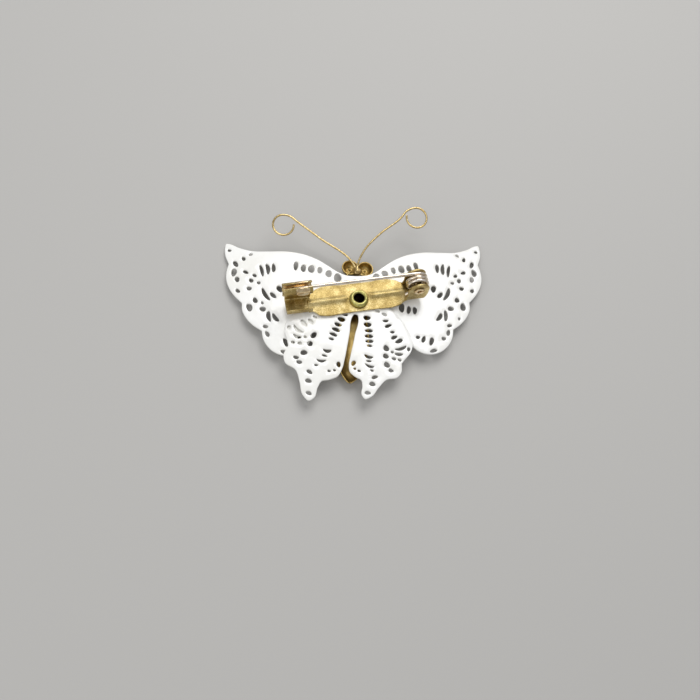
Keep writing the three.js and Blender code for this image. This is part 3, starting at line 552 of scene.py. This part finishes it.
solder = Shell().add(*solder_shell()).make("antenna_solder_lump")


# %% [markdown]
# ## The bar of the pin back
# A common brooch finding, stamped from one strip of brass. The panel is pierced for the rivet and has a shallow rib.
# One end is folded into a trough whose far wall carries the barrel of the catch; the other has two ears for the hinge.
# The panel and the ears are pierced plates. The folded parts are strips of sheet carried along the bar.

# %% The panel
def panel_loops():
    """The panel's outline: wide in the middle, narrow at both ends, with a small hook where the trough starts."""
    upper = [(-10.9, 2.0), (-10.2, 2.05), (-9.7, 2.3), (-8.9, 2.95), (-7.9, 3.3), (-3, 3.32), (3, 3.3), (7.3, 3.3),
             (8.6, 2.95), (9.7, 2.3), (10.6, 2.02), (14.0, 2.0)]
    lower = [(14.0, -2.0), (10.6, -2.02), (9.7, -2.3), (8.6, -2.95), (7.3, -3.3), (3, -3.3), (-3, -3.32),
             (-7.9, -3.3), (-8.9, -3.0), (-9.5, -2.35), (-10.1, -2.0), (-10.9, -2.0)]
    lines = [smooth_line(upper, 0.2)[::-1], smooth_line([upper[0], lower[-1]], 0.2)[1:],
             smooth_line(lower, 0.2)[::-1][1:], smooth_line([lower[0], upper[-1]], 0.2)[1:-1]]
    return [np.concatenate(lines), round_loop(RIVET_HOLE, (0, -BAR_SHIFT))]


def panel_height(u, t):
    """Flat sheet with a rib 0.36 exp(-(t / 0.62)^2) high, faded out round the rivet, and long edges that turn up
    by a tenth of a millimetre."""
    from_rivet = np.hypot(u, t + BAR_SHIFT)
    fade = np.clip((from_rivet - RIVET_RIM) / 0.9, 0, 1)
    edge = np.clip((np.abs(t) - 2.5) / 0.8, 0, 1)
    return PANEL_BASE + BAR_SHEET / 2 + 0.36 * np.exp(-(t / 0.62)**2) * fade + 0.1 * edge**2


bar = plate_shell(panel_loops(), BAR_SHEET - 0.02, panel_height, 0.14, 0.3)


# %% The ears
def ear_loops():
    """Straight sides under a half circle round the hinge, with the hole for its rivet."""
    a = np.radians(np.linspace(0, 180, 40))
    top = np.stack([HINGE_U + EAR_RADIUS * np.cos(a), HINGE_Z + EAR_RADIUS * np.sin(a)], axis=1)
    foot = smooth_line([(HINGE_U - EAR_RADIUS, HINGE_Z - 0.3), (HINGE_U - EAR_RADIUS, 5.6),
                        (HINGE_U - EAR_RADIUS - 0.15, 5.0), (HINGE_U - EAR_RADIUS - 0.5, PANEL_BASE + 0.05)], 0.25)
    base = smooth_line([(HINGE_U - EAR_RADIUS - 0.5, PANEL_BASE + 0.05), (14.1, PANEL_BASE + 0.05)], 0.3)[1:-1]
    back = smooth_line([(14.1, PANEL_BASE + 0.05), (14.4, 5.1), (HINGE_U + EAR_RADIUS, 5.9),
                        (HINGE_U + EAR_RADIUS, HINGE_Z - 0.3)], 0.25)
    return [np.concatenate([top, foot, base, back]), round_loop(0.86, (HINGE_U, HINGE_Z), 36)]


for inner, outer in ((-2.0, -1.55), (1.55, 2.0)):  # the two faces of each ear, across the bar
    ear = plate_shell(ear_loops(), BAR_SHEET, lambda x, y: 0 * x, 0.12, 0.45)
    flat = np.concatenate(ear.points)
    upright = np.column_stack([flat[:, 0], (inner + outer) / 2 - flat[:, 2], flat[:, 1]])
    bar.add(upright, ear.faces)


# %% The trough, its wall and the barrel of the catch
def arc(centre, radius, start, end, count=14):
    """Points of a circle's arc between two angles in degrees."""
    a = np.radians(np.linspace(start, end, count))
    return np.stack([centre[0] + radius * np.cos(a), centre[1] + radius * np.sin(a)], axis=1)


MID = PANEL_BASE + BAR_SHEET / 2
WALL_T, WALL_SHEET = 1.78, 0.42
BARREL_RADIUS, BARREL_SHEET, BARREL_SLOT = 1.235, 0.25, 23
WINDOW, WINDOW_RADIUS, WINDOW_LEAST, TAB_LEAN = (-13.5, -10.3), 1.6, 0.75, 192
lip_top, wall_top = RIB_TOP + 0.85, CATCH_Z - 1.25
floor_line = np.concatenate([[(-WALL_T, lip_top), (-WALL_T, lip_top - 0.5)], arc((-1.28, MID + 0.5), 0.5, 180, 270),
                             [(-0.6, MID + 0.02), (0, MID + 0.1), (0.6, MID + 0.02)],
                             arc((1.28, MID + 0.5), 0.5, 270, 360)])
full_line = np.concatenate([floor_line, [(WALL_T, MID + 1.2), (WALL_T, wall_top)]])
window_line = np.concatenate([floor_line, [(WALL_T, MID + 1.2), (WALL_T, CATCH_Z - 1.7)]])
upper_wall = [(WALL_T, MID + 1.6), (WALL_T, wall_top)]
bar.add(*carried_strip(full_line, WALL_SHEET, BAR_START, WINDOW[0]))
bar.add(*carried_strip(window_line, WALL_SHEET, WINDOW[0] - 0.05, -10.1))
bar.add(*carried_strip(upper_wall, WALL_SHEET, CATCH_START, BAR_START + 0.1))
bar.add(*carried_strip(upper_wall, WALL_SHEET, WINDOW[1], CATCH_END))


# %% The barrel, with the round window in its side
def round_window(angle, radius):
    """Half the window's length at an angle round the barrel. Seen from the side that the tab lies on, the window
    is a circle: half length = sqrt(radius^2 - height^2), and never less than its least."""
    height = radius * np.cos(angle)
    return np.clip(np.sqrt(np.clip(WINDOW_RADIUS**2 - height**2, 0, None)), WINDOW_LEAST, None)


def barrel_shell(u_end, side):
    """A slotted tube whose ring facing the window follows the window's edge. Rings run along u, the section runs
    round the tube from one side of the slot to the other and back inside."""
    n = 61
    a = np.radians(np.linspace(90 + BARREL_SLOT, 450 - BARREL_SLOT, n))
    outer, inner = BARREL_RADIUS + BARREL_SHEET / 2, BARREL_RADIUS - BARREL_SHEET / 2
    section = np.concatenate([np.stack([a, np.full(n, outer)], 1), np.stack([a[::-1], np.full(n, inner)], 1)])
    facing = np.radians(TAB_LEAN) + np.pi / 2
    middle = (WINDOW[0] + WINDOW[1]) / 2
    edge = middle + side * round_window(section[:, 0] - facing, outer)
    share_along = np.array([0, 0.04, 0.5, 0.96, 1])
    shrink = np.array([0.05, 0, 0, 0, 0.05])
    u = u_end + (edge - u_end)[None] * share_along[:, None]
    r = section[None, :, 1] + shrink[:, None] * np.where(section[None, :, 1] > BARREL_RADIUS, -1, 1)
    points = np.stack([u, CATCH_T + r * np.cos(section[None, :, 0]), CATCH_Z + r * np.sin(section[None, :, 0])], -1)
    count, rows = 2 * n, len(share_along)
    faces = grid_faces(rows, count, wrap_columns=True)
    cap = [[i, i + 1, count - 2 - i, count - 1 - i] for i in range(n - 1)]
    faces += [face[::-1] for face in cap] + [[i + (rows - 1) * count for i in face] for face in cap]
    return points, [face[::-1] for face in faces] if side > 0 else faces


bar.add(*barrel_shell(CATCH_START, -1))
bar.add(*barrel_shell(CATCH_END, 1))
bar = bar.make("pin_back_bar", bar_place)

# %% [markdown]
# ## The safety catch
# A slotted sleeve turns inside the barrel. Its thumb tab stands in the barrel's window and lies towards the tails
# while the catch is open. A thicker collar under the tab keeps the sleeve in its place along the barrel. It is a
# little longer than the window's narrow part, so it bites into the barrel's wall there.

# %% Sleeve, collar and tab
rotor = Shell()
sleeve_line = arc((CATCH_T, CATCH_Z), 0.96, 90 + 29, 450 - 29, 60)
collar_line = arc((CATCH_T, CATCH_Z), 1.13, 90 + 25, 450 - 25, 60)
rotor.add(*carried_strip(sleeve_line, 0.2, CATCH_START + 0.15, CATCH_END - 0.15, 0.04))
rotor.add(*carried_strip(collar_line, 0.5, WINDOW[0] + 0.15, WINDOW[1] - 0.15, 0.08))
tab_half, tab_reach = 1.48, 1.78
arch = [(tab_half, 1.02), (1.4, 1.3), (1.1, 1.58), (0.6, 1.73), (0, tab_reach)]
arch = arch + [(-u, v) for u, v in arch[-2::-1]]
outline = np.concatenate([smooth_line([(-tab_half, 1.02), (tab_half, 1.02)], 0.2)[:-1],
                          smooth_line(arch, 0.16)[:-1]])
tab = plate_shell([outline], 0.56, lambda x, y: -0.1 * np.exp(-((x / 0.8)**2 + ((y - 1.4) / 0.3)**2)), 0.07, 0.22)
flat = np.concatenate(tab.points)
lean = np.radians(TAB_LEAN)
rotor.add(np.column_stack([flat[:, 0] + (WINDOW[0] + WINDOW[1]) / 2,
                           CATCH_T + flat[:, 1] * np.cos(lean) - flat[:, 2] * np.sin(lean),
                           CATCH_Z + flat[:, 1] * np.sin(lean) + flat[:, 2] * np.cos(lean)]), tab.faces)
rotor = rotor.make("catch_sleeve", bar_place)

# %% [markdown]
# ## The pin
# One length of hard drawn wire: a straight stem ground to a point, two and a half turns of spring round the hinge,
# and a tail that presses on the panel. The whole path is computed first, and one circle is carried along it.

# %% Stem, coil and tail
PIN_RADIUS, COIL_RADIUS, TURNS, PITCH = 0.375, 2.0, 2.5, 0.8


def pin_path():
    """Straight from the tip to the top of the coil, then (u + R cos a, t - pitch a / 360, h + R sin a) for a from
    90 degrees down through the turns, then a smooth tail to the panel. Also returns the radius at each point."""
    top = np.array([HINGE_U, TURNS * PITCH / 2, HINGE_Z + COIL_RADIUS])
    middle = np.array([(CATCH_START + CATCH_END) / 2, CATCH_T, CATCH_Z])
    way = (middle - top) / np.linalg.norm(middle - top)
    length = (HINGE_U - CATCH_START - 0.5) / -way[0]
    s = np.concatenate([np.linspace(length, length - 10, 30), np.linspace(length - 10.5, 0.6, 24)])
    stem = top + s[:, None] * way
    radius = np.interp(s, [length - 10, length - 6.2, length - 3, length - 0.5, length],
                       [PIN_RADIUS, 0.3, 0.26, 0.14, 0.07])
    a = np.radians(np.linspace(90, 90 - 360 * TURNS, 120))
    turn = (np.pi / 2 - a) / (2 * np.pi)
    coil = np.stack([HINGE_U + COIL_RADIUS * np.cos(a), top[1] - PITCH * turn, HINGE_Z + COIL_RADIUS * np.sin(a)], 1)
    t_end = top[1] - PITCH * TURNS
    low = HINGE_Z - COIL_RADIUS
    rest = PANEL_TOP + PIN_RADIUS + 0.03
    tail = smooth_line([coil[-1], (HINGE_U - 1.1, t_end, low * 0.6 + rest * 0.4), (HINGE_U - 2.1, t_end, rest)],
                       0.15)[1:]
    path = np.concatenate([stem, coil, tail])
    return path, np.concatenate([radius, np.full(len(coil) + len(tail), PIN_RADIUS)])


path, radius = pin_path()
pin = Shell().add(*wire_shell(path, radius, (0, 1, 0), 20)).make("pin_wire", bar_place)

# %% [markdown]
# ## The rivets
# Both rivets are short tubes whose ends were rolled over with a punch. The hinge rivet splits a little as it is rolled.

# %% Tubular rivet and hinge rivet
def rolled_end(bore, shank, rim, seat, top, count=10):
    """The upper end of a tubular rivet: up the shank, under the rim, over it on an ellipse, and into the bore."""
    centre, half, tall = (bore + rim) / 2, (rim - bore) / 2, top - seat
    a = np.radians(np.linspace(0, 180, count))
    over = np.stack([centre + half * np.cos(a), seat + 0.22 + (tall - 0.22) * np.sin(a)], axis=1)
    return np.concatenate([[(shank, seat), (rim - 0.12, seat), (rim - 0.02, seat + 0.08)], over])


foot = WING_BASE - LAYER_GAP - 0.52
upper = rolled_end(RIVET_BORE, RIVET_SHANK, RIVET_RIM, PANEL_TOP + 0.02, RIB_TOP + 0.6, 16)
lower = [(RIVET_BORE, foot), (1.0, foot - 0.22), (1.3, foot - 0.3), (1.75, foot - 0.28), (1.88, foot - 0.12),
         (1.8, foot), (RIVET_SHANK, foot)]


def hammered(r, z, a):
    """The rolled rim is never quite round: slow ripples on its outside and its top."""
    on_rim = np.clip((r - 1.3) / 0.5, 0, 1) * np.clip((z - PANEL_TOP - 0.1) / 0.4, 0, 1)
    return -0.05 * on_rim * (1 + np.cos(3 * a + 0.5)), 0.04 * on_rim * np.cos(5 * a + 1) - 0.04 * on_rim


points, faces = turned_shell(np.concatenate([upper, lower]), 72, hammered)
tube = Shell().add(points, faces).make("tubular_rivet_rolled")

seat = 2.02
half_profile = rolled_end(0.5, 0.8, 1.12, seat, seat + 0.36, 12)
profile = np.concatenate([half_profile, (half_profile * [1, -1])[::-1]])


def split_end(r, z, a):
    """A narrow split in each rolled end: the rim dips where the angle is near 20 degrees."""
    near = np.exp(-((np.angle(np.exp(1j * (a - 0.35)))) / 0.22)**2)
    head = np.clip((np.abs(z) - seat - 0.05) / 0.15, 0, 1)
    return 0 * r, -np.sign(z) * 0.26 * near * head


points, faces = turned_shell(profile, 56, split_end)
axis = np.stack([points[..., 0] + HINGE_U, -points[..., 2], points[..., 1] + HINGE_Z], axis=-1)
hinge = Shell().add(axis, faces).make("hinge_rivet_rolled", bar_place)


# %% [markdown]
# ## Finishes
# Eight finishes. Each starts from the real one's typical colour and roughness. Patterns are scaled from real sizes:
# object coordinates are in metres, so a noise of scale 1000 / s has bumps about s millimetres across.

# %% Tools for materials
def linear(code):
    """sRGB hex to linear: below 0.04045 divide by 12.92, otherwise ((c + 0.055) / 1.055) ** 2.4."""
    c = np.array([int(code[i:i + 2], 16) for i in (0, 2, 4)]) / 255
    return (*np.where(c <= 0.04045, c / 12.92, ((c + 0.055) / 1.055) ** 2.4).tolist(), 1.0)


def add_node(tree, kind, settings=None, links=None):
    """Adds one node, sets its properties and sockets by name, and links sockets to other nodes' outputs."""
    node = tree.nodes.new(kind)
    for key, value in (settings or {}).items():
        if isinstance(key, str) and hasattr(node, key):
            setattr(node, key, value)
        else:
            node.inputs[key].default_value = value
    for key, source in (links or {}).items():
        tree.links.new(source, node.inputs[key])
    return node


def start_material(name, settings):
    """A material whose shader has its plain values set. Returns it with its tree, shader and coordinates."""
    material = bpy.data.materials.new(name)
    material.use_nodes = True
    tree = material.node_tree
    shader = tree.nodes["Principled BSDF"]
    for key, value in settings.items():
        shader.inputs[key].default_value = value
    place = add_node(tree, "ShaderNodeTexCoord")
    return material, tree, shader, place.outputs["Object"]


def ramp(tree, source, stops):
    """A colour ramp with stops of (position, hex)."""
    node = add_node(tree, "ShaderNodeValToRGB", links={"Fac": source})
    for i, (position, code) in enumerate(stops):
        stop = node.color_ramp.elements[i] if i < 2 else node.color_ramp.elements.new(position)
        stop.position, stop.color = position, linear(code)
    return node.outputs["Color"]


def bump(tree, shader, height, distance):
    """Feeds a bump of a real depth in metres to the shader."""
    node = add_node(tree, "ShaderNodeBump", {"Distance": distance, "Strength": 1.0}, {"Height": height})
    tree.links.new(node.outputs["Normal"], shader.inputs["Normal"])


def spread(tree, source, low, high):
    """Maps 0..1 to a range, for a roughness that varies."""
    return add_node(tree, "ShaderNodeMapRange", {"To Min": low, "To Max": high}, {"Value": source}).outputs[0]


# %% White stove enamel
def stove_enamel():
    """Thick glossy enamel: nearly white with a breath of cream, and a soft orange peel 1.2 mm across."""
    material, tree, shader, place = start_material("white_stove_enamel", {
        "Roughness": 0.22, "Coat Weight": 0.5, "Coat Roughness": 0.08, "IOR": 1.5})
    patches = add_node(tree, "ShaderNodeTexNoise", {"Scale": 1000 / 9, "Detail": 3.0}, {"Vector": place})
    tree.links.new(ramp(tree, patches.outputs["Fac"], [(0.3, "F1EFE8"), (0.7, "F8F7F3")]),
                   shader.inputs["Base Color"])
    peel = add_node(tree, "ShaderNodeTexNoise", {"Scale": 1000 / 1.2, "Detail": 2.0}, {"Vector": place})
    tree.links.new(spread(tree, peel.outputs["Fac"], 0.16, 0.3), shader.inputs["Roughness"])
    bump(tree, shader, peel.outputs["Fac"], 0.00004)
    return material


# %% Gold-coloured plating on a sand-textured stamping
def grainy_gilt():
    """Plated brass off a rough tool: bright grains 0.22 mm across over broad darker patches."""
    material, tree, shader, place = start_material("gilt_plating_grainy", {"Metallic": 1.0})
    grain = add_node(tree, "ShaderNodeTexNoise", {"Scale": 1000 / 0.22, "Detail": 3.0, "Roughness": 0.6},
                     {"Vector": place})
    broad = add_node(tree, "ShaderNodeTexNoise", {"Scale": 1000 / 2.2, "Detail": 2.0}, {"Vector": place})
    mixed = add_node(tree, "ShaderNodeMath", {"operation": "MULTIPLY_ADD", 1: 0.55},
                     {0: grain.outputs["Fac"]})
    tree.links.new(add_node(tree, "ShaderNodeMath", {"operation": "MULTIPLY", 1: 0.45},
                            {0: broad.outputs["Fac"]}).outputs[0], mixed.inputs[2])
    tree.links.new(ramp(tree, mixed.outputs[0], [(0.36, "8A7446"), (0.5, "B39C62"), (0.64, "DCCB98")]),
                   shader.inputs["Base Color"])
    tree.links.new(spread(tree, grain.outputs["Fac"], 0.24, 0.5), shader.inputs["Roughness"])
    bump(tree, shader, grain.outputs["Fac"], 0.00009)
    return material


# %% Smooth plated brass, wire and unplated brass
def plated(name, light, dark, rough, streak_mm, streaks=(1, 1, 1), depth=0.00001):
    """Plated metal with soft streaks: a noise stretched along one direction, in colour, roughness and bump."""
    material, tree, shader, place = start_material(name, {"Metallic": 1.0})
    along = add_node(tree, "ShaderNodeMapping", {"Scale": streaks}, {"Vector": place})
    streak = add_node(tree, "ShaderNodeTexNoise", {"Scale": 1000 / streak_mm, "Detail": 4.0},
                      {"Vector": along.outputs["Vector"]})
    tree.links.new(ramp(tree, streak.outputs["Fac"], [(0.32, dark), (0.68, light)]), shader.inputs["Base Color"])
    tree.links.new(spread(tree, streak.outputs["Fac"], rough * 0.75, rough * 1.3), shader.inputs["Roughness"])
    bump(tree, shader, streak.outputs["Fac"], depth)
    return material


# %% Painted shade in a bore
def painted_bore_shade(material, shaded_mm, unshaded_mm):
    """Paints shade into a rivet's bore: darkens the colour near the rivet's axis, where the bore lies in shadow. The
    distance sqrt(x^2 + y^2) goes from all painted shade to none between two radii."""
    tree, shader = material.node_tree, material.node_tree.nodes["Principled BSDF"]
    colour = shader.inputs["Base Color"].links[0].from_socket
    place = next(node for node in tree.nodes if node.type == "TEX_COORD")
    level = add_node(tree, "ShaderNodeVectorMath", {"operation": "MULTIPLY", 1: (1, 1, 0)},
                     {0: place.outputs["Object"]})
    radius = add_node(tree, "ShaderNodeVectorMath", {"operation": "LENGTH"}, {0: level.outputs[0]})
    unshaded_share = add_node(tree, "ShaderNodeMapRange", {"From Min": shaded_mm * MM, "From Max": unshaded_mm * MM},
                     {"Value": radius.outputs["Value"]})
    mixed = add_node(tree, "ShaderNodeMix", {"data_type": "RGBA"}, {"Factor": unshaded_share.outputs[0]})
    # painted shade: the dark brown given to the bore, where it lies in shadow
    mixed.inputs[6].default_value = linear("2A2114")
    tree.links.new(colour, mixed.inputs[7])
    tree.links.new(mixed.outputs[2], shader.inputs["Base Color"])


# %% Make the finishes
enamel = stove_enamel()
gilt_bar = grainy_gilt()
gilt_body = plated("gilt_plating_drawn", "C9AE70", "927A44", 0.34, 0.6, (1, 0.22, 1), 0.00003)
gilt_wire = plated("gilt_wire", "DAC592", "B0965E", 0.25, 0.5)
gilt_catch = plated("gilt_plating_polished", "E3D0AA", "BE9F72", 0.22, 0.7)
spring_wire = plated("spring_wire_pale_gold", "EFE6DA", "CDBCA2", 0.2, 0.5, (0.25, 1, 1))
raw_brass = plated("unplated_brass", "D2CA84", "A49C56", 0.34, 0.35, (1, 1, 1), 0.00003)
# painted shade in the tube rivet's bore: dark inside 1.02 mm, none beyond 1.22 mm
painted_bore_shade(raw_brass, 1.02, 1.22)
solder_gilt = plated("gilt_solder", "CDB27A", "977C4C", 0.3, 0.5, (1, 1, 1), 0.00004)
print("materials:", [material.name for material in bpy.data.materials])

# %% [markdown]
# ## Dress, ride and replace
# Each new piece takes its finish, rides on the body that moves it, and stands for the frame's own plain solid.
# The bridge inside the thorax keeps its plain shape, because only its finish can be told through the rivet.

# %% Assign finishes and bodies
plan = [
    (forewing, enamel, "brooch", "forewing_plate", "white_enamel"),
    (hindwing, enamel, "brooch", "hindwing_plate", "white_enamel"),
    (body, gilt_body, "brooch", "body_shell", "gilt"),
    (antennae[0], gilt_wire, "brooch", "antenna_left", "gilt"),
    (antennae[1], gilt_wire, "brooch", "antenna_right", "gilt"),
    (solder, solder_gilt, "brooch", "antenna_solder", "solder"),
    (bar, gilt_bar, "brooch", "pin_bar", "gilt"),
    (rotor, gilt_catch, "catch", "catch_rotor", "gilt"),
    (pin, spring_wire, "pin", "pin_stem", "pin_wire"),
    (hinge, gilt_catch, "brooch", "hinge_rivet", "gilt"),
    (tube, raw_brass, "brooch", "tubular_rivet", "raw_brass"),
]
for piece, material, rides_on, node, slot in plan:
    piece.data.materials.append(material)
    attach(piece, rides_on)
    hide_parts(node)
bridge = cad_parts["body_bridge"]
for material_slot in bridge.material_slots:
    material_slot.material = gilt_body

# %% [markdown]
# ## Floor, light and camera
# The brooch lies on a plain pale table under a large soft lamp that stands beyond its head, with a weaker one on
# the near side, so the raised bar throws a soft shadow towards the tails.

# %% Floor
floor_mesh = bpy.data.meshes.new("table")
reach = 1.5
floor_mesh.from_pydata([(-reach, -reach, 0), (reach, -reach, 0), (reach, reach, 0), (-reach, reach, 0)], [],
                       [(0, 1, 2, 3)])
table = bpy.data.objects.new("table", floor_mesh)
bpy.context.scene.collection.objects.link(table)
table_finish, tree, shader, place = start_material("table_matt", {"Roughness": 0.7})
shader.inputs["Base Color"].default_value = linear("B4B2AE")
floor_mesh.materials.append(table_finish)


# %% Lights
def area_light(name, position, size, power):
    """A white square lamp at a position in metres, aimed at the brooch."""
    data = bpy.data.lights.new(name, "AREA")
    data.energy, data.size = power, size
    lamp = bpy.data.objects.new(name, data)
    lamp.matrix_world = (Matrix.Translation(position)
                         @ (Vector((0, 0, 0.004)) - Vector(position)).to_track_quat("-Z", "Y").to_matrix().to_4x4())
    bpy.context.scene.collection.objects.link(lamp)


area_light("key_softbox", (0.08, 0.24, 0.36), 0.3, 1.2)
area_light("fill_softbox", (-0.3, -0.22, 0.3), 0.4, 0.6)
world = bpy.data.worlds.new("studio")
world.use_nodes = True
world.node_tree.nodes["Background"].inputs["Color"].default_value = linear("F2F4F8")
world.node_tree.nodes["Background"].inputs["Strength"].default_value = 0.55
bpy.context.scene.world = world
bpy.context.scene.view_settings.view_transform = "Standard"

# %% Camera
lens = bpy.data.cameras.new("camera")
lens.lens, lens.sensor_width = 41.6, 36.0
lens.clip_start = 0.01
camera = bpy.data.objects.new("camera", lens)
right = Vector((0.9924, -0.0555, 0.1101)).normalized()
back = -Vector((0.1230, 0.3877, -0.9136)).normalized()
up = back.cross(right).normalized()
right = up.cross(back).normalized()
turn = Matrix((right, up, back)).transposed().to_4x4()
camera.matrix_world = Matrix.Translation(Vector((-22.9, -75.8, 156.1)) * MM) @ turn
bpy.context.scene.collection.objects.link(camera)
bpy.context.scene.camera = camera

# %% Update the scene
bpy.context.view_layer.update()
